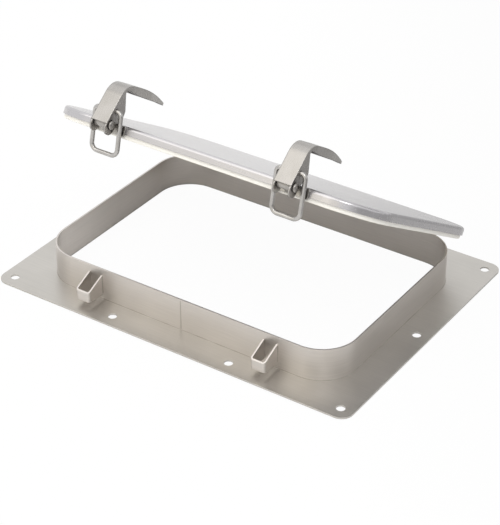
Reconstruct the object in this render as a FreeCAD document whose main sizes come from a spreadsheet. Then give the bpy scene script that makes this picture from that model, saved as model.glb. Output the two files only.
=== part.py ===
"""Inspection hatch for a ventilation duct: a rectangular flange with a raised collar, and a gasketed lid.

The lid turns on two hinges behind the collar and is drawn down by two lever latches at the front.
All sizes are in millimetres. X runs along the hatch, -Y is the latch side and Z points away from the duct.
The origin is the centre of the flange's bottom face. Every lid piece is drawn with the lid shut and then
turned open about the hinge axis to the angle at which the hatch stands.
"""

import FreeCAD, Part

import math
import os
import Sketcher
from FreeCAD import Placement, Rotation, Vector

doc = FreeCAD.newDocument("inspection_hatch")

SIZES = {
    # flange and its bolt holes
    "flange_length": 300,
    "flange_width": 222,
    "flange_sheet": 1.2,
    "flange_corner": 9,
    "bolt_hole": 6.5,
    "bolt_margin": 10,
    "bolt_pitch": 100,
    # collar round the opening
    "opening_length": 250,
    "opening_width": 172,
    "opening_corner": 27,
    "collar_sheet": 1.2,
    "collar_height": 25.3,
    # lid pan
    "lid_overhang": 7.3,
    "lid_sheet": 1.2,
    "lid_skirt": 6,
    "lid_bend": 2.2,
    # gasket under the lid
    "seal_gap": 0.3,
    "seal_web": 2,
    "seal_width": 12,
    "seal_side_gap": 0.2,
    "seal_lip": 3,
    "seal_drop": 3,
    "seal_edge": 1,
    # hinges
    "hinge_spacing": 150,
    "hinge_reach": 14.9,
    "hinge_drop": 5.3,
    "hinge_sheet": 1.5,
    "hinge_arm_width": 10,
    "hinge_side_gap": 0.3,
    "hinge_pin": 3.6,
    "hinge_boss": 7,
    "hinge_foot": 3.3,
    "hinge_shoulder": 19.1,
    "hinge_bend": 2.3,
    "roll_mouth": 1.4,
    "pin_head": 5.6,
    "pin_head_height": 1,
    "pin_clearance": 0.05,
    "head_bevel": 0.5,
    # strikes on the collar that the wire loops hook under
    "strike_width": 12,
    "strike_sheet": 1.2,
    "strike_reach": 16,
    "strike_bend": 2.2,
    "strike_face_foot": 5,
    "strike_face_height": 7.6,
    "strike_root_foot": 3.6,
    "strike_root_height": 16.2,
    # latch bases on the lid
    "latch_spacing": 150,
    "base_width": 26.8,
    "base_sheet": 1.2,
    "base_height": 8.8,
    "base_corner": 1.5,
    "base_bend": 1.6,
    "knuckle_width": 10.4,
    "rivet": 4,
    "rivet_out": 10.3,
    "rivet_drop": 2,
    "rivet_head": 6.4,
    "rivet_head_height": 1.6,
    "rivet_head_gap": 0.3,
    # levers
    "lever_width": 13.4,
    "lever_sheet": 1.2,
    "lever_bend": 13.5,
    "lever_top": 29.8,
    "plate_foot_out": 5.4,
    "plate_foot_up": 0.6,
    "knee_in": 5.7,
    "crown_in": 44,
    "crown_bend": 130,
    "tongue_end_in": 68,
    "tongue_end_up": 22.4,
    "tip_in": 66,
    "tip_radius": 1.6,
    "taper_start": 15.5,
    "taper_waist": 42,
    "taper_waist_width": 9.4,
    "wall_end_up": 21.2,
    "wall_fade_in": 58,
    "wall_fade_up": 22.2,
    "wall_sag_in": 27,
    "wall_sag_up": 23.5,
    "wall_sag_bend": 60,
    "neck_in": 6.2,
    "neck_up": 26,
    "neck_round": 2,
    "shoulder_in": 12.9,
    "shoulder_up": 11.2,
    "shoulder_round": 3,
    "hip_in": 12.4,
    "hip_up": 7.2,
    "heel_in": 6.6,
    "heel_up": 1.2,
    "ear_round": 1.5,
    "ear_lobe": 10.8,
    "lobe_drop": 0.5,
    # wire loops and the barrels that their ends turn in
    "wire": 3.2,
    "loop_pivot_in": 2,
    "loop_pivot_up": 9.8,
    "loop_length": 31.7,
    "loop_width": 22.2,
    "loop_bend": 5,
    "loop_eye_bend": 3.4,
    "loop_end": 3,
    "barrel": 4.3,
    "barrel_width": 10.4,
    # how the hatch stands
    "lid_angle": 31.7,
    "loop_lean": 18,
}

sheet = doc.addObject("Spreadsheet::Sheet", "dim")
for row, (alias, size) in enumerate(SIZES.items(), start=1):
    sheet.set(f"A{row}", alias)
    sheet.set(f"B{row}", str(size))
    sheet.setAlias(f"B{row}", alias)
doc.recompute()

# Expressions that several pieces share, in the sheet's sizes.
COLLAR_TOP = "(dim.flange_sheet + dim.collar_height)"
LID_TOP = f"({COLLAR_TOP} + dim.seal_gap + dim.seal_web + dim.lid_sheet)"
COLLAR_LENGTH = "(dim.opening_length + 2 * dim.collar_sheet)"
COLLAR_WIDTH = "(dim.opening_width + 2 * dim.collar_sheet)"
COLLAR_CORNER = "(dim.opening_corner + dim.collar_sheet)"
LID_LENGTH = f"({COLLAR_LENGTH} + 2 * dim.lid_overhang)"
LID_WIDTH = f"({COLLAR_WIDTH} + 2 * dim.lid_overhang)"
LID_CORNER = f"({COLLAR_CORNER} + dim.lid_overhang)"
HINGE_Y = f"({COLLAR_WIDTH} / 2 + dim.hinge_reach)"
HINGE_Z = f"({COLLAR_TOP} - dim.hinge_drop)"
HINGE_BORE = "(dim.hinge_pin / 2 + dim.pin_clearance)"
RIVET_BORE = "(dim.rivet / 2 + dim.pin_clearance)"
WIRE_BORE = "(dim.wire / 2 + dim.pin_clearance)"
CLEAR = "(dim.flange_length + dim.flange_width)"


def value(expression):
    """The number that an expression in the sheet's sizes comes to."""
    return float(sheet.evalExpression(expression))


def new_body(label):
    return doc.addObject("PartDesign::Body", label)


def new_sketch(body, name, plane, offset=None):
    """A sketch on one of the body's own origin planes, or at an offset along that plane's normal."""
    sketch = body.newObject("Sketcher::SketchObject", name)
    origin = [feature for feature in body.Origin.OriginFeatures if feature.Role == plane][0]
    sketch.AttachmentSupport = [(origin, "")]
    sketch.MapMode = "FlatFace"
    if offset:
        sketch.setExpression("AttachmentOffset.Base.z", offset)
    return sketch


def hold(sketch, kind, *args, expression):
    """A dimension in the sketch, bound to an expression."""
    index = sketch.addConstraint(Sketcher.Constraint(kind, *args, value(expression)))
    sketch.setExpression(f"Constraints[{index}]", expression)


def hold_point(sketch, geometry, position, across, up):
    hold(sketch, "DistanceX", -1, 1, geometry, position, expression=across)
    hold(sketch, "DistanceY", -1, 1, geometry, position, expression=up)


def add_circle(sketch, across, up, radius):
    centre = Vector(value(across), value(up), 0)
    circle = sketch.addGeometry(Part.Circle(centre, Vector(0, 0, 1), value(radius)), False)
    hold_point(sketch, circle, 3, across, up)
    hold(sketch, "Radius", circle, expression=radius)


def add_arc(sketch, centre, radius, first, last, left):
    """An arc from first to last; returns its index and which of its ends those points are."""
    low, high = (first, last) if left else (last, first)
    start = math.atan2(low.y - centre.y, low.x - centre.x)
    end = math.atan2(high.y - centre.y, high.x - centre.x)
    circle = Part.Circle(centre, Vector(0, 0, 1), radius)
    arc = sketch.addGeometry(Part.ArcOfCircle(circle, start, end + (2 * math.pi if end < start else 0)), False)
    return arc, (1, 2) if left else (2, 1)


def corner_arc(before, corner, after, radius):
    """Centre, first and last point of the arc that rounds a corner, and whether it turns left."""
    inward = (before - corner).normalize()
    outward = (after - corner).normalize()
    half = inward.getAngle(outward) / 2
    first = corner + inward * (radius / math.tan(half))
    last = corner + outward * (radius / math.tan(half))
    centre = corner + (inward + outward).normalize() * (radius / math.sin(half))
    return centre, first, last, (corner - before).cross(after - corner).z > 0


def tangent_arc(before, centre, after, radius, left):
    """First and last point of the arc about a centre that the lines from and to its neighbours touch."""
    side = 1 if left else -1
    touches = []
    for point, turn in ((before, -side), (after, side)):
        reach = centre - point
        angle = math.atan2(reach.y, reach.x) + turn * math.asin(radius / reach.Length)
        length = math.sqrt(reach.Length ** 2 - radius ** 2)
        touches.append(point + Vector(math.cos(angle), math.sin(angle), 0) * length)
    return touches


def add_outline(sketch, corners):
    """A closed outline of straight lines and arcs.

    A corner is (across, up), (across, up, radius) where it is rounded, or (across, up, radius, "left" or
    "right") for an arc about that point which turns that way and which the lines beside it touch.
    """
    spots = [Vector(value(corner[0]), value(corner[1]), 0) for corner in corners]
    count = len(corners)
    arcs = {}
    for i, corner in enumerate(corners):
        if len(corner) == 4:
            left = corner[3] == "left"
            ends = tangent_arc(spots[i - 1], spots[i], spots[(i + 1) % count], value(corner[2]), left)
            arcs[i] = (spots[i], *ends, left)
    for i, corner in enumerate(corners):
        if len(corner) == 3:
            before, after = (i - 1) % count, (i + 1) % count
            point_before = arcs[before][2] if len(corners[before]) == 4 else spots[before]
            point_after = arcs[after][1] if len(corners[after]) == 4 else spots[after]
            arcs[i] = corner_arc(point_before, spots[i], point_after, value(corner[2]))
    lines = []
    for i in range(count):
        start = arcs[i][2] if i in arcs else spots[i]
        following = (i + 1) % count
        end = arcs[following][1] if following in arcs else spots[following]
        lines.append(sketch.addGeometry(Part.LineSegment(start, end), False))
    for i, corner in enumerate(corners):
        line_in, line_out = lines[i - 1], lines[i]
        if i not in arcs:
            sketch.addConstraint(Sketcher.Constraint("Coincident", line_in, 2, line_out, 1))
            hold_point(sketch, line_out, 1, corner[0], corner[1])
            continue
        centre, first, last, left = arcs[i]
        arc, (start, end) = add_arc(sketch, centre, value(corner[2]), first, last, left)
        sketch.addConstraint(Sketcher.Constraint("Tangent", line_in, 2, arc, start))
        sketch.addConstraint(Sketcher.Constraint("Tangent", arc, end, line_out, 1))
        hold(sketch, "Radius", arc, expression=corner[2])
        if len(corner) == 4:
            hold_point(sketch, arc, 3, corner[0], corner[1])
        else:
            spot = sketch.addGeometry(Part.Point(spots[i]), True)
            hold_point(sketch, spot, 1, corner[0], corner[1])
            sketch.addConstraint(Sketcher.Constraint("PointOnObject", spot, 1, line_in))
            sketch.addConstraint(Sketcher.Constraint("PointOnObject", spot, 1, line_out))


def add_rectangle(sketch, length, width, radius):
    """A rectangle about the sketch's origin with rounded corners."""
    right, back = f"({length}) / 2", f"({width}) / 2"
    ends = [(right, f"-{back}"), (right, back), (f"-{right}", back), (f"-{right}", f"-{back}")]
    add_outline(sketch, [(across, up, radius) for across, up in ends])


def add_strip(sketch, corners, thickness):
    """The edge-on outline of a bent strip of sheet. The corners lie on its outer face, which is on the
    right hand of the way along it; a corner's radius is that face's."""
    spots = [Vector(value(corner[0]), value(corner[1]), 0) for corner in corners]
    gauge = value(thickness)
    ways = [(after - before).normalize() for before, after in zip(spots, spots[1:])]
    normals = [Vector(-way.y, way.x, 0) for way in ways]
    inner = [spots[0] + normals[0] * gauge]
    for spot, first, last in zip(spots[1:], normals, normals[1:]):
        inner.append(spot + (first + last) * (gauge / (1 + first.dot(last))))
    inner.append(spots[-1] + normals[-1] * gauge)
    faces = []
    for points, shift in ((spots, 0), (inner, -1)):
        bends = []
        for i in range(1, len(points) - 1):
            left = (points[i] - points[i - 1]).cross(points[i + 1] - points[i]).z > 0
            radius = value(corners[i][2]) + (shift if left else -shift) * gauge
            bends.append(corner_arc(points[i - 1], points[i], points[i + 1], radius) + (radius,))
        starts = [points[0]] + [bend[2] for bend in bends]
        finishes = [bend[1] for bend in bends] + [points[-1]]
        lines = [sketch.addGeometry(Part.LineSegment(a, b), False) for a, b in zip(starts, finishes)]
        for i, (centre, first, last, left, radius) in enumerate(bends):
            arc, (start, end) = add_arc(sketch, centre, radius, first, last, left)
            sketch.addConstraint(Sketcher.Constraint("Tangent", lines[i], 2, arc, start))
            sketch.addConstraint(Sketcher.Constraint("Tangent", arc, end, lines[i + 1], 1))
            sign = "-" if left else "+"
            change = f" {sign} {thickness}" if shift else ""
            hold(sketch, "Radius", arc, expression=f"{corners[i + 1][2]}{change}")
        faces.append(lines)
    outer_lines, inner_lines = faces
    hold_point(sketch, outer_lines[0], 1, corners[0][0], corners[0][1])
    hold_point(sketch, outer_lines[-1], 2, corners[-1][0], corners[-1][1])
    for i in range(1, len(corners) - 1):
        spot = sketch.addGeometry(Part.Point(spots[i]), True)
        hold_point(sketch, spot, 1, corners[i][0], corners[i][1])
        sketch.addConstraint(Sketcher.Constraint("PointOnObject", spot, 1, outer_lines[i - 1]))
        sketch.addConstraint(Sketcher.Constraint("PointOnObject", spot, 1, outer_lines[i]))
    for outer_line, inner_line in zip(outer_lines, inner_lines):
        sketch.addConstraint(Sketcher.Constraint("Parallel", outer_line, inner_line))
        hold(sketch, "Distance", inner_line, 1, outer_line, expression=thickness)
    for line, end, a, b in ((0, 1, spots[0], inner[0]), (-1, 2, spots[-1], inner[-1])):
        cap = sketch.addGeometry(Part.LineSegment(a, b), False)
        sketch.addConstraint(Sketcher.Constraint("Coincident", cap, 1, outer_lines[line], end))
        sketch.addConstraint(Sketcher.Constraint("Coincident", cap, 2, inner_lines[line], end))
        sketch.addConstraint(Sketcher.Constraint("Perpendicular", cap, outer_lines[line]))


def pad(body, sketch, length, centred=False, backward=False):
    feature = body.newObject("PartDesign::Pad", sketch.Name + "_pad")
    feature.Profile = sketch
    feature.SideType = "Symmetric" if centred else "One side"
    feature.Reversed = backward
    feature.setExpression("Length", length)
    return feature


def cut(body, sketch, length, centred=False, backward=False):
    """A pocket that must take something away."""
    doc.recompute()
    before = body.Shape.Volume
    feature = body.newObject("PartDesign::Pocket", sketch.Name + "_cut")
    feature.Profile = sketch
    feature.SideType = "Symmetric" if centred else "One side"
    feature.Reversed = backward
    feature.setExpression("Length", length)
    doc.recompute()
    if not body.Shape.Volume < before:
        raise RuntimeError(f"{body.Label}: {sketch.Name} cuts nothing")
    return feature


def fillet(body, base, radius, wanted):
    """Rounds the edges of a feature whose middle point passes a test."""
    doc.recompute()
    names = []
    for i, edge in enumerate(base.Shape.Edges, start=1):
        middle = edge.valueAt((edge.FirstParameter + edge.LastParameter) / 2)
        if wanted(middle, edge):
            names.append(f"Edge{i}")
    feature = body.newObject("PartDesign::Fillet", body.Name + "_fillet")
    feature.Base = (base, names)
    feature.setExpression("Radius", radius)
    return feature


def shut_pose(across, y, z):
    """Where a piece of the shut lid lies, given the place of its own origin."""
    return Placement(Vector(value(across), value(y), value(z)), Rotation())


def lid_pose():
    """The turn about the hinge axis that takes the lid from shut to where it stands."""
    axis = Vector(0, value(HINGE_Y), value(HINGE_Z))
    return Placement(Vector(), Rotation(Vector(1, 0, 0), -value("dim.lid_angle")), axis)


def make_flange_plate():
    body = new_body("flange_plate")
    outline = new_sketch(body, "flange_outline", "XY_Plane")
    add_rectangle(outline, "dim.flange_length", "dim.flange_width", "dim.flange_corner")
    pad(body, outline, "dim.flange_sheet")
    opening = new_sketch(body, "flange_opening", "XY_Plane")
    add_rectangle(opening, "dim.opening_length", "dim.opening_width", "dim.opening_corner")
    cut(body, opening, "dim.flange_sheet", backward=True)
    holes = new_sketch(body, "bolt_holes", "XY_Plane")
    end = "(dim.flange_length / 2 - dim.bolt_margin)"
    side = "(dim.flange_width / 2 - dim.bolt_margin)"
    for sign in ("", "-"):
        add_circle(holes, f"{sign}{end}", "0", "dim.bolt_hole / 2")
        for other in ("", "-"):
            add_circle(holes, f"{sign}{end}", f"{other}{side}", "dim.bolt_hole / 2")
            add_circle(holes, f"{sign}dim.bolt_pitch / 2", f"{other}{side}", "dim.bolt_hole / 2")
    cut(body, holes, "dim.flange_sheet", backward=True)


def make_collar_ring():
    body = new_body("collar_ring")
    section = new_sketch(body, "collar_section", "XY_Plane")
    add_rectangle(section, COLLAR_LENGTH, COLLAR_WIDTH, COLLAR_CORNER)
    add_rectangle(section, "dim.opening_length", "dim.opening_width", "dim.opening_corner")
    pad(body, section, "dim.collar_height")
    body.Placement.Base = Vector(0, 0, value("dim.flange_sheet"))


def trim_sides(body, name, corners):
    """Cuts away what lies outside an outline seen from the side."""
    trim = new_sketch(body, name, "YZ_Plane")
    add_outline(trim, corners)
    far = f"{CLEAR} / 2"
    add_outline(trim, [(f"-{far}", f"-{far}"), (far, f"-{far}"), (far, far), (f"-{far}", far)])
    cut(body, trim, CLEAR, centred=True)


def make_strike(side, sign):
    """A folded strike; its own origin is where its middle meets the collar, on the flange's top."""
    body = new_body(f"strike_bracket_{side}")
    plan = new_sketch(body, f"strike_plan_{side}", "XY_Plane")
    half = "dim.strike_width / 2"
    route = [
        (f"-{half}", "0"),
        (f"-{half}", "-dim.strike_reach", "dim.strike_bend"),
        (half, "-dim.strike_reach", "dim.strike_bend"),
        (half, "0"),
    ]
    add_strip(plan, route, "dim.strike_sheet")
    pad(body, plan, "dim.collar_height")
    face_top = "(dim.strike_face_foot + dim.strike_face_height)"
    root_top = "(dim.strike_root_foot + dim.strike_root_height)"
    trim_sides(body, f"strike_side_{side}", [
        ("-dim.strike_reach", "dim.strike_face_foot"),
        ("0", "dim.strike_root_foot"),
        ("0", root_top),
        ("-dim.strike_reach", face_top),
    ])
    across = value(f"{sign} * dim.latch_spacing / 2")
    body.Placement.Base = Vector(across, -value(f"{COLLAR_WIDTH} / 2"), value("dim.flange_sheet"))


def make_hinge_bracket(side, sign):
    """A folded bracket; its own origin is where its middle meets the collar, on the flange's top."""
    body = new_body(f"hinge_bracket_{side}")
    plan = new_sketch(body, f"bracket_plan_{side}", "XY_Plane")
    half = "(dim.hinge_arm_width / 2 + dim.hinge_side_gap + dim.hinge_sheet)"
    reach = "(dim.hinge_reach + dim.hinge_boss)"
    route = [
        (half, reach),
        (half, "0", "dim.hinge_bend"),
        (f"-{half}", "0", "dim.hinge_bend"),
        (f"-{half}", reach),
    ]
    route.reverse()
    add_strip(plan, route, "dim.hinge_sheet")
    pad(body, plan, "dim.collar_height")
    pin_up = "(dim.collar_height - dim.hinge_drop)"
    trim_sides(body, f"bracket_side_{side}", [
        ("0", "dim.hinge_foot"),
        ("dim.hinge_reach", pin_up, "dim.hinge_boss / 2", "left"),
        ("dim.hinge_reach - dim.hinge_boss / 2 - 1", "dim.hinge_shoulder"),
        ("0", "dim.hinge_shoulder"),
    ])
    bore = new_sketch(body, f"bracket_bore_{side}", "YZ_Plane")
    add_circle(bore, "dim.hinge_reach", pin_up, HINGE_BORE)
    cut(body, bore, CLEAR, centred=True)
    across = value(f"{sign} * dim.hinge_spacing / 2")
    body.Placement.Base = Vector(across, value(f"{COLLAR_WIDTH} / 2"), value("dim.flange_sheet"))


def make_headed_pin(label, radius, grip, head, head_height):
    """A pin along X with a bevelled head at each end; grip is half the length between the heads."""
    body = new_body(label)
    half_section = new_sketch(body, f"{label}_section", "XY_Plane")
    end = f"({grip} + {head_height})"
    rim = f"({end} - dim.head_bevel)"
    face = f"({head} - dim.head_bevel)"
    add_outline(half_section, [
        (f"-{end}", "0"),
        (end, "0"),
        (end, face),
        (rim, head),
        (grip, head),
        (grip, radius),
        (f"-{grip}", radius),
        (f"-{grip}", head),
        (f"-{rim}", head),
        (f"-{end}", face),
    ])
    turned = body.newObject("PartDesign::Revolution", f"{label}_turned")
    turned.Profile = half_section
    turned.ReferenceAxis = (half_section, ["H_Axis"])
    turned.Angle = 360
    return body


def make_hinge_pin(side, sign):
    grip = "(dim.hinge_arm_width / 2 + 2 * dim.hinge_side_gap + dim.hinge_sheet)"
    body = make_headed_pin(
        f"hinge_pin_{side}", "dim.hinge_pin / 2", grip, "dim.pin_head / 2", "dim.pin_head_height")
    body.Placement = lid_pose() * shut_pose(f"{sign} * dim.hinge_spacing / 2", HINGE_Y, HINGE_Z)


def make_lid_pan():
    """A shallow pan, open below; its own origin is the middle of its top face."""
    body = new_body("lid_pan")
    outline = new_sketch(body, "lid_outline", "XY_Plane")
    add_rectangle(outline, LID_LENGTH, LID_WIDTH, LID_CORNER)
    block = pad(body, outline, "dim.lid_skirt", backward=True)
    rounded = fillet(body, block, "dim.lid_bend", lambda middle, edge: abs(middle.z) < 0.01)
    hollow = new_sketch(body, "lid_hollow", "XY_Plane", "-dim.lid_skirt")
    inside = "- 2 * dim.lid_sheet)"
    add_rectangle(hollow, f"({LID_LENGTH} {inside}", f"({LID_WIDTH} {inside}", f"({LID_CORNER} - dim.lid_sheet)")
    pocket = cut(body, hollow, "dim.lid_skirt - dim.lid_sheet", backward=True)
    ceiling = -value("dim.lid_sheet")
    fillet(body, pocket, "dim.lid_bend - dim.lid_sheet", lambda middle, edge: abs(middle.z - ceiling) < 0.01)
    body.Placement = lid_pose() * shut_pose("0", "0", LID_TOP)


def make_lid_seal():
    """An angle-section gasket: a web on the collar's rim and a lip round the collar's outside."""
    body = new_body("lid_seal")
    inset = "(dim.lid_sheet + dim.seal_side_gap)"
    path = new_sketch(body, "seal_path", "XY_Plane")
    add_rectangle(path, f"({LID_LENGTH} - 2 * {inset})", f"({LID_WIDTH} - 2 * {inset})", f"({LID_CORNER} - {inset})")
    front = f"({LID_WIDTH} / 2 - {inset})"
    lip_foot = "(dim.lid_skirt + dim.seal_drop)"
    web_foot = "(dim.lid_sheet + dim.seal_web)"
    section = new_sketch(body, "seal_section", "YZ_Plane")
    add_outline(section, [
        (f"-{front}", f"-{lip_foot}", "dim.seal_edge"),
        (f"-{front} + dim.seal_lip", f"-{lip_foot}"),
        (f"-{front} + dim.seal_lip", f"-{web_foot}"),
        (f"-{front} + dim.seal_width", f"-{web_foot}"),
        (f"-{front} + dim.seal_width", "-dim.lid_sheet"),
        (f"-{front} + dim.seal_edge", "-dim.lid_sheet"),
        (f"-{front}", "-dim.lid_sheet - dim.seal_edge"),
    ])
    swept = body.newObject("PartDesign::AdditivePipe", "seal_sweep")
    swept.Profile = section
    swept.Spine = (path, [])
    body.Placement = lid_pose() * shut_pose("0", "0", LID_TOP)


def make_hinge_arm(side, sign):
    """A strap from the lid's rear wall that rolls round the hinge pin; its own origin is on the pin."""
    body = new_body(f"hinge_arm_{side}")
    wall = "(dim.hinge_reach - dim.lid_overhang)"
    top = f"({LID_TOP} - {HINGE_Z} - 0.3)"
    strap = new_sketch(body, f"strap_{side}", "YZ_Plane")
    add_strip(strap, [
        (f"-{wall}", top),
        (f"-{wall}", HINGE_BORE, "dim.hinge_bend"),
        ("0", HINGE_BORE),
    ], "dim.hinge_sheet")
    pad(body, strap, "dim.hinge_arm_width", centred=True)
    roll = new_sketch(body, f"roll_{side}", "YZ_Plane")
    add_circle(roll, "0", "0", f"({HINGE_BORE} + dim.hinge_sheet)")
    add_circle(roll, "0", "0", HINGE_BORE)
    pad(body, roll, "dim.hinge_arm_width", centred=True)
    mouth = new_sketch(body, f"roll_mouth_{side}", "YZ_Plane")
    low = f"({HINGE_BORE} - dim.roll_mouth)"
    add_outline(mouth, [
        ("-dim.hinge_boss", low),
        ("-dim.hinge_pin / 4", low),
        ("-dim.hinge_pin / 4", HINGE_BORE),
        ("-dim.hinge_boss", HINGE_BORE),
    ])
    cut(body, mouth, CLEAR, centred=True)
    body.Placement = lid_pose() * shut_pose(f"{sign} * dim.hinge_spacing / 2", HINGE_Y, HINGE_Z)


def rivet_pose(sign):
    """The place of the rivet's middle; the latch pieces have their own origins there."""
    rivet_y = f"-({LID_WIDTH} / 2 + dim.rivet_out)"
    rivet_z = f"({LID_TOP} - dim.rivet_drop)"
    return lid_pose() * shut_pose(f"{sign} * dim.latch_spacing / 2", rivet_y, rivet_z)


def make_latch_base(side, sign):
    """A plate on the lid's front wall whose middle tab rolls round the rivet."""
    body = new_body(f"latch_base_{side}")
    tab_top = f"({RIVET_BORE} + dim.base_sheet)"
    foot = f"({tab_top} - dim.base_height)"
    tab = new_sketch(body, f"base_tab_{side}", "YZ_Plane")
    add_strip(tab, [
        ("dim.rivet_out", foot),
        ("dim.rivet_out", tab_top, "dim.base_bend"),
        ("0", tab_top),
    ], "dim.base_sheet")
    pad(body, tab, "dim.knuckle_width", centred=True)
    knuckle = new_sketch(body, f"knuckle_{side}", "YZ_Plane")
    add_circle(knuckle, "0", "0", tab_top)
    add_circle(knuckle, "0", "0", RIVET_BORE)
    pad(body, knuckle, "dim.knuckle_width", centred=True)
    plate = new_sketch(body, f"base_plate_{side}", "XZ_Plane", "-dim.rivet_out")
    half = "dim.base_width / 2"
    shoulder = f"({tab_top} - dim.base_bend)"
    add_outline(plate, [
        (f"-{half}", foot, "dim.base_corner"),
        (half, foot, "dim.base_corner"),
        (half, shoulder, "dim.base_corner"),
        (f"-{half}", shoulder, "dim.base_corner"),
    ])
    pad(body, plate, "dim.base_sheet")
    body.Placement = rivet_pose(sign)


def make_lever_rivet(side, sign):
    grip = "(dim.lever_width / 2 + dim.rivet_head_gap)"
    body = make_headed_pin(
        f"lever_rivet_{side}", "dim.rivet / 2", grip, "dim.rivet_head / 2", "dim.rivet_head_height")
    body.Placement = rivet_pose(sign)


def tongue_plan(body, name, inset):
    """A sketch of the tongue seen from above, drawn in from its edge, as far as the start of its taper."""
    plan = new_sketch(body, name, "XY_Plane")
    half = f"(dim.lever_width / 2 - {inset})"
    waist = f"(dim.taper_waist_width / 2 - {inset})"
    tip = ("0", "dim.tip_in - dim.tip_radius", f"dim.tip_radius - {inset}", "left")
    bend = f"1.2 * dim.taper_waist - {inset}"
    tongue = [
        (half, "dim.taper_start"),
        (waist, "dim.taper_waist", bend),
        tip,
        (f"-{waist}", "dim.taper_waist", bend),
        (f"-{half}", "dim.taper_start"),
    ]
    return plan, tongue


def make_latch_lever(side, sign):
    """The lever: a plate that bends over into a long tapered channel, with its ears in one with the walls.

    The side is drawn up to the middle of the sheet that closes it, and hollowed from front to tip.
    """
    body = new_body(f"latch_lever_{side}")
    slope = "atan2(dim.lever_top - dim.plate_foot_up; dim.knee_in + dim.plate_foot_out)"
    fall = "atan2(dim.lever_top - dim.tongue_end_up; dim.tongue_end_in - dim.crown_in)"
    lobe = "dim.ear_lobe / 2"
    middle = "dim.lever_sheet / 2"
    depth = f"({lobe} + {middle})"
    outline = new_sketch(body, f"lever_side_{side}", "YZ_Plane")
    add_outline(outline, [
        (f"-dim.plate_foot_out + {depth} * sin({slope}) - dim.lobe_drop * cos({slope})",
         f"dim.plate_foot_up - {depth} * cos({slope}) - dim.lobe_drop * sin({slope})", lobe, "left"),
        ("dim.heel_in", "dim.heel_up", "dim.ear_round"),
        ("dim.hip_in", "dim.hip_up", "dim.ear_round"),
        ("dim.shoulder_in", "dim.shoulder_up", "dim.shoulder_round"),
        ("dim.neck_in", "dim.neck_up", "dim.neck_round"),
        ("dim.wall_sag_in", "dim.wall_sag_up", "dim.wall_sag_bend"),
        ("dim.wall_fade_in", "dim.wall_fade_up"),
        ("dim.tongue_end_in", "dim.wall_end_up"),
        (f"dim.tongue_end_in - {middle} * sin({fall})", f"dim.tongue_end_up - {middle} * cos({fall})"),
        (f"dim.crown_in - {middle} * tan({fall} / 2)", f"dim.lever_top - {middle}", f"dim.crown_bend - {middle}"),
        (f"dim.knee_in + {middle} * tan({slope} / 2)", f"dim.lever_top - {middle}", f"dim.lever_bend - {middle}"),
    ])
    pad(body, outline, "dim.lever_width", centred=True)
    inside, tongue = tongue_plan(body, f"lever_inside_{side}", "dim.lever_sheet")
    front = "-dim.lever_top"
    add_outline(inside, [(tongue[0][0], front), *tongue, (tongue[-1][0], front)])
    cut(body, inside, CLEAR, centred=True)
    strip = new_sketch(body, f"lever_strip_{side}", "YZ_Plane")
    add_strip(strip, [
        ("dim.tongue_end_in", "dim.tongue_end_up"),
        ("dim.crown_in", "dim.lever_top", "dim.crown_bend"),
        ("dim.knee_in", "dim.lever_top", "dim.lever_bend"),
        ("-dim.plate_foot_out", "dim.plate_foot_up"),
    ], "dim.lever_sheet")
    pad(body, strip, "dim.lever_width", centred=True)
    beside, tongue = tongue_plan(body, f"lever_taper_{side}", "0")
    outside = "dim.lever_width"
    beyond = "(dim.tongue_end_in + dim.lever_width)"
    add_outline(beside, [
        *tongue,
        (f"-{outside}", "dim.taper_start"),
        (f"-{outside}", beyond),
        (outside, beyond),
        (outside, "dim.taper_start"),
    ])
    cut(body, beside, CLEAR, centred=True)
    bores = new_sketch(body, f"lever_bores_{side}", "YZ_Plane")
    add_circle(bores, "0", "0", RIVET_BORE)
    add_circle(bores, "dim.loop_pivot_in", "dim.loop_pivot_up", WIRE_BORE)
    cut(body, bores, CLEAR, centred=True)
    body.Placement = rivet_pose(sign)


def loop_pose(sign):
    """The place of the loop's pivot, with the loop leaning in against the latch base."""
    pivot = Placement(
        Vector(0, value("dim.loop_pivot_in"), value("dim.loop_pivot_up")),
        Rotation(Vector(1, 0, 0), value("dim.loop_lean")))
    return rivet_pose(sign) * pivot


def make_loop_barrel(side, sign):
    """The spacer tube between the lever's ears that the wire's two ends turn in."""
    body = new_body(f"loop_barrel_{side}")
    tube = new_sketch(body, f"barrel_section_{side}", "YZ_Plane")
    add_circle(tube, "0", "0", "dim.barrel / 2")
    add_circle(tube, "0", "0", WIRE_BORE)
    pad(body, tube, "dim.barrel_width", centred=True)
    body.Placement = loop_pose(sign)


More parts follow.
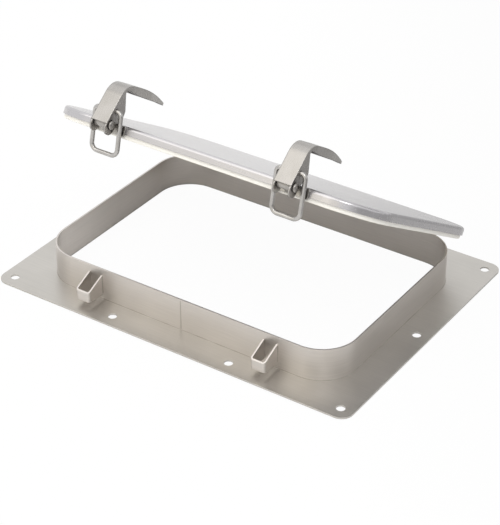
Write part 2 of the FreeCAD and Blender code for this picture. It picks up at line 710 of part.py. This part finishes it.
def make_wire_loop(side, sign):
    """A closed-ended bail of round wire; its own origin is the middle of its pivot."""
    body = new_body(f"wire_loop_{side}")
    half = "dim.loop_width / 2"
    corners = [
        ("-dim.loop_end", "0"),
        (f"-{half}", "0", "dim.loop_eye_bend"),
        (f"-{half}", "-dim.loop_length", "dim.loop_bend"),
        (half, "-dim.loop_length", "dim.loop_bend"),
        (half, "0", "dim.loop_eye_bend"),
        ("dim.loop_end", "0"),
    ]
    path = new_sketch(body, f"wire_path_{side}", "XZ_Plane")
    spots = [Vector(value(corner[0]), value(corner[1]), 0) for corner in corners]
    bends = [corner_arc(*spots[i - 1:i + 2], value(corners[i][2])) for i in range(1, len(corners) - 1)]
    starts = [spots[0]] + [bend[2] for bend in bends]
    finishes = [bend[1] for bend in bends] + [spots[-1]]
    lines = [path.addGeometry(Part.LineSegment(a, b), False) for a, b in zip(starts, finishes)]
    hold_point(path, lines[0], 1, corners[0][0], corners[0][1])
    hold_point(path, lines[-1], 2, corners[-1][0], corners[-1][1])
    for i, (centre, first, last, left) in enumerate(bends):
        corner = corners[i + 1]
        arc, (start, end) = add_arc(path, centre, value(corner[2]), first, last, left)
        path.addConstraint(Sketcher.Constraint("Tangent", lines[i], 2, arc, start))
        path.addConstraint(Sketcher.Constraint("Tangent", arc, end, lines[i + 1], 1))
        hold(path, "Radius", arc, expression=corner[2])
        spot = path.addGeometry(Part.Point(spots[i + 1]), True)
        hold_point(path, spot, 1, corner[0], corner[1])
        path.addConstraint(Sketcher.Constraint("PointOnObject", spot, 1, lines[i]))
        path.addConstraint(Sketcher.Constraint("PointOnObject", spot, 1, lines[i + 1]))
    section = new_sketch(body, f"wire_section_{side}", "YZ_Plane", "-dim.loop_end")
    add_circle(section, "0", "0", "dim.wire / 2")
    swept = body.newObject("PartDesign::AdditivePipe", f"wire_sweep_{side}")
    swept.Profile = section
    swept.Spine = (path, [])
    body.Placement = loop_pose(sign)


make_flange_plate()
make_collar_ring()
make_lid_pan()
make_lid_seal()
for side, sign in (("left", "-1"), ("right", "1")):
    make_strike(side, sign)
    make_hinge_bracket(side, sign)
    make_hinge_pin(side, sign)
    make_hinge_arm(side, sign)
    make_latch_base(side, sign)
    make_lever_rivet(side, sign)
    make_latch_lever(side, sign)
    make_loop_barrel(side, sign)
    make_wire_loop(side, sign)
doc.recompute()

bodies = [item for item in doc.Objects if item.TypeId == "PartDesign::Body"]
for item in doc.Objects:
    if "Invalid" in item.State or "Error" in item.State:
        raise RuntimeError(f"{item.Label} failed: {item.State}")
for body in bodies:
    if body.Shape.isNull() or not body.Shape.isValid() or len(body.Shape.Solids) != 1:
        raise RuntimeError(f"{body.Label} is not one valid solid")

os.makedirs("parts", exist_ok=True)
for body in bodies:
    body.Shape.exportStep(f"parts/{body.Label}.step")
    print(f"{body.Label}: {body.Shape.Volume:.0f} mm3")
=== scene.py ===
"""An inspection hatch of stainless steel sheet, its lid standing open: finishes, welds and studio."""
import math

import bpy
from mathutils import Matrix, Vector


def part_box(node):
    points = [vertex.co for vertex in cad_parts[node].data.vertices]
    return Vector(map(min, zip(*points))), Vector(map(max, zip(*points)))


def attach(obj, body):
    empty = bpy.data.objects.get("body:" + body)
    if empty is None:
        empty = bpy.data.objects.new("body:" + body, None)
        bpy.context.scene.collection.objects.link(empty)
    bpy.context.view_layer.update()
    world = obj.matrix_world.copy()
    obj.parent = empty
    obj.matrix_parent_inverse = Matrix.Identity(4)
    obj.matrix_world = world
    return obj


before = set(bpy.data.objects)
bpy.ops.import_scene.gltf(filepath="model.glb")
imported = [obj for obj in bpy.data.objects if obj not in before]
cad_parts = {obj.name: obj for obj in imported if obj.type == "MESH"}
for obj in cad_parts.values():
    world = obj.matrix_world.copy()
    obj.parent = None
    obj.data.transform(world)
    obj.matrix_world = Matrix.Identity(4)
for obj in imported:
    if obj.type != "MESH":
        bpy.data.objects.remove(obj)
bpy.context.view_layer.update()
bpy.ops.object.select_all(action="DESELECT")

MM = 0.001


# the camera, matched to the bolt holes and the collar's rim

CAMERA_AZIMUTH = math.radians(34.107)
CAMERA_ELEVATION = math.radians(32.971)
CAMERA_DISTANCE = 1332.085 * MM
CAMERA_TARGET = Vector((-9.463, 13.042, 0)) * MM
# Blender takes the sensor and the lens in millimetres, and all else in metres
SENSOR_HEIGHT = 36
LENS_LENGTH = 122.93
NEAREST_SEEN = 0.05
FARTHEST_SEEN = 20

camera_data = bpy.data.cameras.new("camera")
camera_data.sensor_fit = "VERTICAL"
camera_data.sensor_height = SENSOR_HEIGHT
camera_data.lens = LENS_LENGTH
camera_data.clip_start = NEAREST_SEEN
camera_data.clip_end = FARTHEST_SEEN
camera = bpy.data.objects.new("camera", camera_data)
backward = Vector((
    math.sin(CAMERA_AZIMUTH) * math.cos(CAMERA_ELEVATION),
    -math.cos(CAMERA_AZIMUTH) * math.cos(CAMERA_ELEVATION),
    math.sin(CAMERA_ELEVATION),
))
camera.location = CAMERA_TARGET + backward * CAMERA_DISTANCE
camera.rotation_euler = (-backward).to_track_quat("-Z", "Y").to_euler()
bpy.context.scene.collection.objects.link(camera)
bpy.context.scene.camera = camera


# materials

# the parts of a noise's values that its tones spread over: the rest is too rare to show
GRAIN_SPREAD = (0.25, 0.75)
CLOUD_SPREAD = (0.3, 0.7)
# how far the grain moves the roughness either way
GLOSS_CHANGE = 0.05
# the openness at which a recess has all its painted shade and none of it, and the light that the
# painted shade leaves
PAINTED_SHADE_SPREAD = (0.25, 0.85)
PAINTED_SHADE_LEVEL = 0.1
RECESS_RAYS = 12
EDGE_RAYS = 6
DUST_SIZE = 6 * MM
DUST_RELIEF = 0.02 * MM
# the Mix node's colour sockets by number, because others have the same names
MIX_FACTOR, MIX_FIRST, MIX_SECOND, MIX_RESULT = 0, 6, 7, 2


def colour(code):
    """A hex sRGB colour as the linear values that the shaders take."""
    channels = [int(code[i:i + 2], 16) / 255 for i in (1, 3, 5)]
    return tuple(c / 12.92 if c <= 0.04045 else ((c + 0.055) / 1.055) ** 2.4 for c in channels) + (1,)


def add_node(tree, kind, sockets, **settings):
    """Adds a node; each socket gets a value, or a link from another node's output."""
    node = tree.nodes.new(kind)
    for name, setting in settings.items():
        setattr(node, name, setting)
    for name, source in sockets.items():
        if isinstance(source, bpy.types.NodeSocket):
            tree.links.new(source, node.inputs[name])
        else:
            node.inputs[name].default_value = source
    return node


def two_tones(tree, factor, first, second):
    """A colour that goes from the first hex colour to the second as the factor goes from 0 to 1."""
    return add_node(tree, "ShaderNodeMix", {
        MIX_FACTOR: factor, MIX_FIRST: colour(first), MIX_SECOND: colour(second),
    }, data_type="RGBA").outputs[MIX_RESULT]


def new_material(name, **values):
    """A material with a Principled shader, and that shader's own values."""
    material = bpy.data.materials.new(name)
    material.use_nodes = True
    shader = material.node_tree.nodes["Principled BSDF"]
    for socket, setting in values.items():
        shader.inputs[socket.replace("_", " ")].default_value = setting
    return material, material.node_tree, shader


def stainless(name, pale, dark, roughness, grain_mm, cloud_mm=45, relief_mm=0.004, edge_mm=0.35,
              fleck_depth=0.05, recess_mm=0):
    """Rolled or brushed stainless steel. grain_mm is the pattern's size along X, Y and Z: long along
    the brushing and short across it. Two tones of the metal lie in broad soft clouds, and edges are
    rounded to edge_mm, so they catch the light. Recesses narrower than recess_mm get painted shade."""
    material, tree, shader = new_material(name, Metallic=1.0)
    place = add_node(tree, "ShaderNodeTexCoord", {}).outputs["Object"]
    stretch = tuple(1 / (size * MM) for size in grain_mm)
    grain_place = add_node(tree, "ShaderNodeMapping", {"Vector": place, "Scale": stretch})
    grain = add_node(tree, "ShaderNodeTexNoise", {
        "Vector": grain_place.outputs["Vector"], "Scale": 1.0, "Detail": 3.0, "Roughness": 0.55,
    }).outputs["Fac"]
    cloud = add_node(tree, "ShaderNodeTexNoise", {
        "Vector": place, "Scale": 1 / (cloud_mm * MM), "Detail": 2.0, "Roughness": 0.5,
    }).outputs["Fac"]
    blend = add_node(tree, "ShaderNodeMapRange", {
        "Value": cloud, "From Min": CLOUD_SPREAD[0], "From Max": CLOUD_SPREAD[1]})
    tone = two_tones(tree, blend.outputs["Result"], pale, dark)
    depth = add_node(tree, "ShaderNodeMapRange", {
        "Value": grain, "From Min": GRAIN_SPREAD[0], "From Max": GRAIN_SPREAD[1],
        "To Min": 1 - fleck_depth, "To Max": 1 + fleck_depth,
    }).outputs["Result"]
    # painted shade: the colour is darkened where the ambient occlusion finds a recess closed in
    if recess_mm:
        openness = add_node(
            tree, "ShaderNodeAmbientOcclusion", {"Distance": recess_mm * MM}, samples=RECESS_RAYS)
        painted_shade = add_node(tree, "ShaderNodeMapRange", {
            "Value": openness.outputs["AO"], "From Min": PAINTED_SHADE_SPREAD[0], "From Max": PAINTED_SHADE_SPREAD[1],
            "To Min": PAINTED_SHADE_LEVEL})
        depth = add_node(tree, "ShaderNodeMath", {
            0: painted_shade.outputs["Result"], 1: depth}, operation="MULTIPLY").outputs[0]
    shade = add_node(tree, "ShaderNodeVectorMath", {0: tone, "Scale": depth}, operation="SCALE")
    tree.links.new(shade.outputs["Vector"], shader.inputs["Base Color"])
    gloss = add_node(tree, "ShaderNodeMapRange", {
        "Value": grain, "From Min": GRAIN_SPREAD[0], "From Max": GRAIN_SPREAD[1],
        "To Min": roughness - GLOSS_CHANGE, "To Max": roughness + GLOSS_CHANGE})
    tree.links.new(gloss.outputs["Result"], shader.inputs["Roughness"])
    worn_edge = add_node(tree, "ShaderNodeBevel", {"Radius": edge_mm * MM}, samples=EDGE_RAYS)
    bump = add_node(tree, "ShaderNodeBump", {
        "Height": grain, "Strength": 0.4, "Distance": relief_mm * MM,
        "Normal": worn_edge.outputs["Normal"]})
    tree.links.new(bump.outputs["Normal"], shader.inputs["Normal"])
    return material


def rubber(name, pale, shaded):
    """Moulded silicone: soft white, slightly dusty, with a sheen only at the edge."""
    material, tree, shader = new_material(name, Metallic=0.0, Roughness=0.6, IOR=1.41)
    place = add_node(tree, "ShaderNodeTexCoord", {}).outputs["Object"]
    dust = add_node(tree, "ShaderNodeTexNoise", {
        "Vector": place, "Scale": 1 / DUST_SIZE, "Detail": 4.0, "Roughness": 0.6,
    }).outputs["Fac"]
    tree.links.new(two_tones(tree, dust, pale, shaded), shader.inputs["Base Color"])
    bump = add_node(tree, "ShaderNodeBump", {"Height": dust, "Strength": 0.3, "Distance": DUST_RELIEF})
    tree.links.new(bump.outputs["Normal"], shader.inputs["Normal"])
    return material


# cold rolled sheet as it comes from the mill: even grey with a faint grain along the roll
mill_sheet = stainless("mill_finish_stainless_sheet", "#C8C5C0", "#C1BEB9", 0.39, (30, 0.9, 0.9))
# the strip of the collar and strikes is paler, and its grain runs round the collar
collar_strip = stainless("mill_finish_stainless_strip", "#D5D0CB", "#CFCAC5", 0.38, (30, 30, 0.9))
# the lid is finer sheet with a smoother, cooler skin
bright_sheet = stainless(
    "bright_annealed_stainless", "#C5C3C5", "#C0BEC0", 0.25, (60, 3, 3), relief_mm=0.0003, edge_mm=0.6,
    fleck_depth=0.02)
# pressed fittings, tumbled after bending: even and soft at the edges, with painted shade in their
# narrow gaps
tumbled = stainless(
    "tumbled_stainless_fittings", "#AEABA8", "#A6A39F", 0.28, (0.8, 8, 8), cloud_mm=12, edge_mm=0.9,
    recess_mm=3.2)
# drawn wire: faint lines along it and a soft shine
drawn_wire = stainless("drawn_stainless_wire", "#BDBBB9", "#AEABA8", 0.24, (0.7, 0.7, 6), cloud_mm=8)
# moulded silicone seal: a soft white line under the lid, with no shine
silicone = rubber("white_silicone_rubber", "#FAF8F3", "#F3F0E9")
# weld beads, brushed clean: rippled, duller and a little darker than the sheet
weld = stainless(
    "stainless_weld_bead", "#B9B4AD", "#A59F97", 0.45, (1.2, 1.2, 1.2), cloud_mm=10, relief_mm=0.08)

# each node's finish, by how its name starts
FINISHES = {
    "flange_plate": mill_sheet, "collar_ring": collar_strip, "strike": collar_strip,
    "hinge": tumbled, "lid_pan": bright_sheet, "lid_seal": silicone, "latch": tumbled,
    "lever": tumbled, "loop_barrel": tumbled, "wire_loop": drawn_wire,
}
for name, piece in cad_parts.items():
    finish = next(found for start, found in FINISHES.items() if name.startswith(start))
    for slot in piece.material_slots:
        slot.material = finish


# welds, all on the frame

COLLAR_CORNER = 28.2 * MM
CORNER_SEGMENTS = 14
BEAD = 0.8 * MM
BEAD_SEGMENTS = 16
RING_ROUNDNESS = 3
# a straight bead's rounded ends: their size as a share of the bead's, and their steps
END_SHARE = 0.35
END_SEGMENTS = 3
# the seam's bead is larger, nearly flush, and stops short of the flange and the rim
SEAM_BEAD = 1.0 * MM
SEAM_PROUD = 0.2 * MM
SEAM_FOOT_GAP = 0.4 * MM
SEAM_RIM_GAP = 0.8 * MM
# the strikes' beads stop short of their lower and upper ends
STRIKE_FOOT_GAP = 1.5 * MM
STRIKE_TOP_GAP = 0.8 * MM
# the flat back of a hinge bracket that lies on the collar, between its two bends
HINGE_BACK = 15.8 * MM
HINGE_BEND = 2.3 * MM


def finish_weld(name):
    """Names the bead just made, puts its place in its mesh, and fixes it to the frame."""
    piece = bpy.context.object
    piece.name = name
    bpy.ops.object.shade_smooth()
    bpy.ops.object.transform_apply(location=True, rotation=True, scale=True)
    piece.data.materials.clear()
    piece.data.materials.append(weld)
    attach(piece, "frame")
    bpy.ops.object.select_all(action="DESELECT")


def weld_ring(name, low, high, corner, height, size):
    """A round bead that follows a rectangle with rounded corners."""
    middle = (low + high) / 2
    bpy.ops.mesh.primitive_plane_add(size=1, location=(middle.x, middle.y, height))
    bpy.ops.object.mode_set(mode="EDIT")
    bpy.ops.transform.resize(value=(high.x - low.x, high.y - low.y, 1))
    bpy.ops.mesh.bevel(offset=corner, segments=CORNER_SEGMENTS, affect="VERTICES")
    bpy.ops.mesh.delete(type="ONLY_FACE")
    bpy.ops.object.mode_set(mode="OBJECT")
    bpy.ops.object.convert(target="CURVE")
    bpy.context.object.data.bevel_depth = size / 2
    bpy.context.object.data.bevel_resolution = RING_ROUNDNESS
    bpy.ops.object.convert(target="MESH")
    finish_weld(name)


def weld_line(name, start, end, size):
    """A straight round bead with rounded ends."""
    along = end - start
    bpy.ops.mesh.primitive_cylinder_add(
        vertices=BEAD_SEGMENTS, radius=size / 2, depth=along.length, location=(start + end) / 2,
        rotation=along.to_track_quat("Z", "Y").to_euler())
    bpy.ops.object.mode_set(mode="EDIT")
    # selected as faces, because the two ends' points are all the points, and would take in the sides
    bpy.ops.mesh.select_mode(type="FACE")
    bpy.ops.mesh.select_all(action="DESELECT")
    bpy.ops.object.mode_set(mode="OBJECT")
    for face in bpy.context.object.data.polygons:
        face.select = len(face.vertices) == BEAD_SEGMENTS
    bpy.ops.object.mode_set(mode="EDIT")
    bpy.ops.mesh.bevel(offset=size * END_SHARE, segments=END_SEGMENTS)
    bpy.ops.object.mode_set(mode="OBJECT")
    finish_weld(name)


collar_low, collar_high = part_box("collar_ring")
weld_ring("collar_foot_weld", collar_low, collar_high, COLLAR_CORNER, collar_low.z, BEAD)
seam_y = collar_low.y + SEAM_BEAD / 2 - SEAM_PROUD
weld_line(
    "collar_seam_weld", Vector((0, seam_y, collar_low.z + SEAM_FOOT_GAP)),
    Vector((0, seam_y, collar_high.z - SEAM_RIM_GAP)), SEAM_BEAD)
for side in ("left", "right"):
    strike_low, strike_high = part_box(f"strike_bracket_{side}")
    for edge, x in (("outer", strike_low.x), ("inner", strike_high.x)):
        weld_line(
            f"strike_weld_{side}_{edge}", Vector((x, collar_low.y, strike_low.z + STRIKE_FOOT_GAP)),
            Vector((x, collar_low.y, strike_high.z - STRIKE_TOP_GAP)), BEAD)
    hinge_low, hinge_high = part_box(f"hinge_bracket_{side}")
    for edge, height in (("lower", hinge_low.z), ("upper", hinge_low.z + HINGE_BACK)):
        weld_line(
            f"hinge_weld_{side}_{edge}", Vector((hinge_low.x + HINGE_BEND, collar_high.y, height)),
            Vector((hinge_high.x - HINGE_BEND, collar_high.y, height)), BEAD)


# floor, light and world

# how much of the white paper the camera sees, and how much the metal and rubber mirror
CAMERA_SHARE = 0.96
MIRRORED_SHARE = 0.05
WORLD_LIGHT = 0.82
WHITE = (1, 1, 1, 1)
FLOOR_SIZE = 8
FLOOR_DROP = 0.05 * MM
# the way in which painted shade makes the floor darker, where along it that starts and ends, and its
# two tones: the paper's own and the painted shade
FLOOR_AWAY = (0.8, 0.6, 0)
FALLOFF_START = 40 * MM
FALLOFF_END = 290 * MM
LIT_PAPER = "#F8F8F8"
PAINTED_SHADE_PAPER = "#AEAEAE"
# the studio's unlit sides as the metal mirrors them, at the front right and the rear right: where
# each lies, how near to it the light starts to fall and is lowest, and how much of it is left there
DARK_SIDES = (
    ((0.874, -0.462, -0.151), 0.72, 0.95, 0.48),
    ((0.47, 0.70, 0.54), 0.82, 0.98, 0.66),
)


def seen_share(tree, camera_share, mirrored_share):
    """How much of the white backdrop a ray sees: one share straight on, another in metal and rubber."""
    path = add_node(tree, "ShaderNodeLightPath", {})
    mirrored = add_node(tree, "ShaderNodeMath", {
        0: path.outputs["Is Glossy Ray"], 1: path.outputs["Is Transmission Ray"]}, operation="MAXIMUM")
    dimmed = add_node(tree, "ShaderNodeMath", {
        0: mirrored.outputs[0], 1: mirrored_share}, operation="MULTIPLY")
    direct = add_node(tree, "ShaderNodeMath", {
        0: path.outputs["Is Camera Ray"], 1: camera_share}, operation="MULTIPLY")
    share = add_node(tree, "ShaderNodeMath", {
        0: direct.outputs[0], 1: dimmed.outputs[0]}, operation="MAXIMUM")
    return share.outputs[0]


def new_floor():
    """A paper floor that shows as white to the camera, and still takes the object's shadow. It is lit
    from the front left, and its colour has painted shade that grows darker towards the rear right, so
    what the metal mirrors of it is darker there."""
    bpy.ops.mesh.primitive_plane_add(size=FLOOR_SIZE, location=(0, 0, -FLOOR_DROP))
    floor = bpy.context.object
    floor.name = "floor"
    material, tree, shader = new_material("white_paper_floor", Roughness=0.9)
    place = add_node(tree, "ShaderNodeTexCoord", {}).outputs["Object"]
    away = add_node(tree, "ShaderNodeVectorMath", {0: place, 1: FLOOR_AWAY}, operation="DOT_PRODUCT")
    # painted shade: the floor's colour darkens away from the object towards the rear right
    painted_shade_falloff = add_node(tree, "ShaderNodeMapRange", {
        "Value": away.outputs["Value"], "From Min": FALLOFF_START, "From Max": FALLOFF_END})
    tone = two_tones(tree, painted_shade_falloff.outputs["Result"], LIT_PAPER, PAINTED_SHADE_PAPER)
    tree.links.new(tone, shader.inputs["Base Color"])
    white = add_node(tree, "ShaderNodeEmission", {"Color": WHITE, "Strength": 1.0})
    mixed = add_node(tree, "ShaderNodeMixShader", {
        0: seen_share(tree, CAMERA_SHARE, MIRRORED_SHARE), 1: shader.outputs[0], 2: white.outputs[0]})
    tree.links.new(mixed.outputs[0], tree.nodes["Material Output"].inputs["Surface"])
    floor.data.materials.append(material)


def new_softbox(name, azimuth, elevation, distance, width, height, glow, tint="#FFFFFF"):
    """A softbox that faces the object, in degrees and metres; azimuth turns left from the front.
    Glow is its brightness, where 1 is white."""
    light = bpy.data.lights.new(name, "AREA")
    light.shape = "RECTANGLE"
    light.size = width
    light.size_y = height
    light.energy = glow * math.pi * width * height
    light.color = colour(tint)[:3]
    box = bpy.data.objects.new(name, light)
    turn, rise = math.radians(azimuth), math.radians(elevation)
    away = Vector((-math.sin(turn) * math.cos(rise), -math.cos(turn) * math.cos(rise), math.sin(rise)))
    box.location = away * distance
    box.rotation_euler = away.to_track_quat("Z", "Y").to_euler()
    bpy.context.scene.collection.objects.link(box)


def new_world():
    """An even white studio that is darker at its unlit sides, but not to the camera."""
    world = bpy.data.worlds.new("studio")
    bpy.context.scene.world = world
    world.use_nodes = True
    tree = world.node_tree
    surround = tree.nodes["Background"]
    surround.inputs["Color"].default_value = WHITE
    heading = add_node(tree, "ShaderNodeTexCoord", {}).outputs["Generated"]
    straight = add_node(tree, "ShaderNodeLightPath", {}).outputs["Is Camera Ray"]
    seen_light = 1.0
    for direction, start, full, level in DARK_SIDES:
        towards = add_node(tree, "ShaderNodeVectorMath", {
            0: heading, 1: direction}, operation="DOT_PRODUCT")
        lowest = add_node(tree, "ShaderNodeMapRange", {
            "Value": straight, "To Min": level, "To Max": 1.0})
        wall = add_node(tree, "ShaderNodeMapRange", {
            "Value": towards.outputs["Value"], "From Min": start, "From Max": full,
            "To Min": 1.0, "To Max": lowest.outputs["Result"]}, interpolation_type="SMOOTHSTEP")
        seen_light = add_node(tree, "ShaderNodeMath", {
            0: wall.outputs["Result"], 1: seen_light}, operation="MULTIPLY").outputs[0]
    lift = add_node(tree, "ShaderNodeMapRange", {
        "Value": seen_share(tree, 1, 1), "To Min": WORLD_LIGHT, "To Max": seen_light})
    tree.links.new(lift.outputs["Result"], surround.inputs["Strength"])


new_floor()
# a large warm key from the front left, a fill at the left rear, a warm strip low at the front, and a
# small strong one at the right for the edges
new_softbox("key_softbox", azimuth=32, elevation=60, distance=2.0, width=1.5, height=2.0, glow=0.92,
            tint="#FFFBF3")
new_softbox("side_softbox", azimuth=120, elevation=58, distance=2.0, width=1.2, height=1.2, glow=0.3)
new_softbox("front_softbox", azimuth=8, elevation=22, distance=2.4, width=2.0, height=0.8, glow=0.36,
            tint="#FFE694")
new_softbox("edge_softbox", azimuth=-46, elevation=56, distance=2.0, width=0.6, height=0.8, glow=3.5)
new_world()

view = bpy.context.scene.view_settings
view.view_transform = "Standard"
